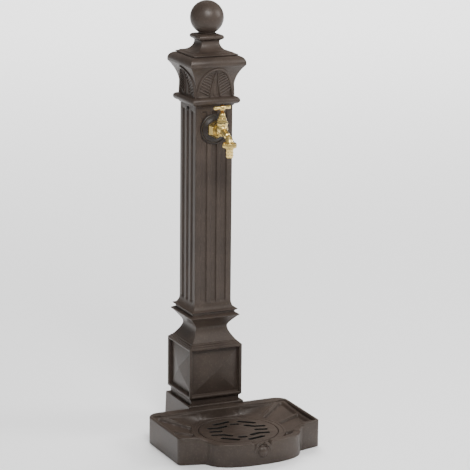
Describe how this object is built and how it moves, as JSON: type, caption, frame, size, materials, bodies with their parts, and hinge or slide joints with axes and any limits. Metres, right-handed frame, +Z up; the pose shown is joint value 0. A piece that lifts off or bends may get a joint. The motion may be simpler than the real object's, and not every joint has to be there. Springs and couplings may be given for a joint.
{
  "type": "garden water column",
  "caption": "Square fluted cast-metal water column with a bow-fronted catch basin, a loose slotted grate and a brass tap with a T-handle.",
  "frame": {"origin": "on the ground, in the middle of the base: midway between the front of the basin's bow and the end of the supply thread at the back", "axes": "+Z up along the column; the tap and the basin's bow face -Y; +X to the right of someone facing the tap"},
  "size_m": [0.35, 0.415, 1],
  "materials": {
    "cast_bronze_paint": "satin paint on cast metal",
    "cast_dark": "darker satin paint on cast metal",
    "dark_screw": "painted screw head",
    "tap_brass": "polished, slightly dulled",
    "spindle_brass": "turned brass",
    "plain_brass": "as cast and machined",
    "copper_pipe": "drawn copper tube",
    "zinc_steel": "zinc plated",
    "rubber": "matte",
    "black_plastic": "moulded"
  },
  "bodies": {
    "root": {"basin": "cast_bronze_paint", "waste_spigot": "black_plastic", "waste_washer": "rubber", "waste_nut": "black_plastic", "plinth": "cast_bronze_paint", "plinth_bolts": "zinc_steel", "plinth_washers": "zinc_steel", "shaft": "cast_bronze_paint", "shaft_bolts": "zinc_steel", "shaft_washers": "zinc_steel", "capital": "cast_bronze_paint", "capital_screws": "dark_screw", "roof": "cast_bronze_paint", "roof_screws": "zinc_steel", "ball": "cast_bronze_paint", "ball_stud": "zinc_steel", "stud_nut": "zinc_steel", "stud_washer": "zinc_steel", "rose": "cast_dark", "wall_nut": "tap_brass", "tap_body": "tap_brass", "bonnet_gasket": "rubber", "bonnet": "tap_brass", "gland_packing": "rubber", "gland_nut": "tap_brass", "union_nut": "tap_brass", "hose_washer": "rubber", "hose_tail": "tap_brass", "tap_elbow": "plain_brass", "elbow_seal": "rubber", "riser": "copper_pipe", "riser_clip": "zinc_steel", "clip_screw": "zinc_steel", "foot_elbow": "plain_brass", "supply_thread": "plain_brass", "supply_seal": "rubber", "supply_nut": "plain_brass"},
    "jumper": {"jumper": "spindle_brass", "jumper_washer": "rubber"},
    "spindle": {"spindle": "spindle_brass", "handle": "tap_brass", "handle_screw": "spindle_brass"},
    "grate": {"grate": "cast_dark"}
  },
  "joints": [
    {"name": "jumper_lift", "type": "slide", "parent": "root", "child": "jumper", "axis": [0, 0, 1], "range_m": [0, 0.006]},
    {"name": "handle_turn", "type": "hinge", "parent": "jumper", "child": "spindle", "pos_m": [0, 0.0345, 0.769], "axis": [0, 0, 1], "range_deg": [0, 900]},
    {"name": "grate_lift", "type": "slide", "parent": "root", "child": "grate", "axis": [0, 0, 1], "range_m": [0, 0.04]}
  ],
  "couplings": [
    {"joint": "jumper_lift", "follows": "handle_turn", "m_per_rad": 0.00038197}
  ]
}
